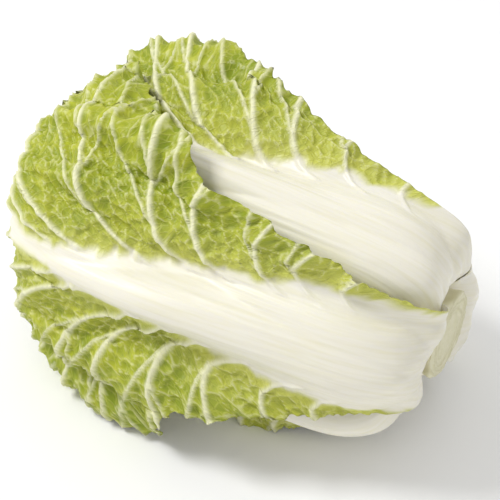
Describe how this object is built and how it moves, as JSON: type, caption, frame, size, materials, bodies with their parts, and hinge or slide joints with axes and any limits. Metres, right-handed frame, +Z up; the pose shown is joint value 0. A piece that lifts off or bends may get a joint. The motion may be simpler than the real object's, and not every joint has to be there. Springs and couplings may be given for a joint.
{
  "type": "napa cabbage",
  "caption": "Whole napa cabbage head lying on its side, with broad white midribs, crinkled green leaf blades wrapped over a closed heart, and a cut stem end.",
  "frame": {"origin": "centre of the head's bounding box in plan, on the surface that the head lies on", "axes": "+X from the leaf tips to the cut stem, +Z up from the surface, -Y towards the front wrapper leaf"},
  "size_m": [0.2786, 0.1969, 0.1839],
  "materials": {
    "wrapper_green": "satin",
    "heart_yellow": "satin",
    "stem_white": "matte"
  },
  "bodies": {
    "root": {"stem": "stem_white", "heart_bud": "heart_yellow", "heart_leaf_01": "heart_yellow", "heart_leaf_02": "heart_yellow", "heart_leaf_03": "heart_yellow", "heart_leaf_04": "heart_yellow", "heart_leaf_05": "heart_yellow", "heart_leaf_06": "heart_yellow", "heart_leaf_07": "heart_yellow", "heart_leaf_08": "heart_yellow", "heart_leaf_09": "heart_yellow", "heart_leaf_10": "heart_yellow", "heart_leaf_11": "heart_yellow", "heart_leaf_12": "heart_yellow", "wrapper_leaf_front": "wrapper_green", "wrapper_leaf_top": "wrapper_green", "wrapper_leaf_back": "wrapper_green", "wrapper_leaf_front_low": "wrapper_green", "wrapper_leaf_under": "wrapper_green", "wrapper_leaf_back_top": "wrapper_green", "wrapper_leaf_back_low": "wrapper_green"}
  },
  "joints": []
}
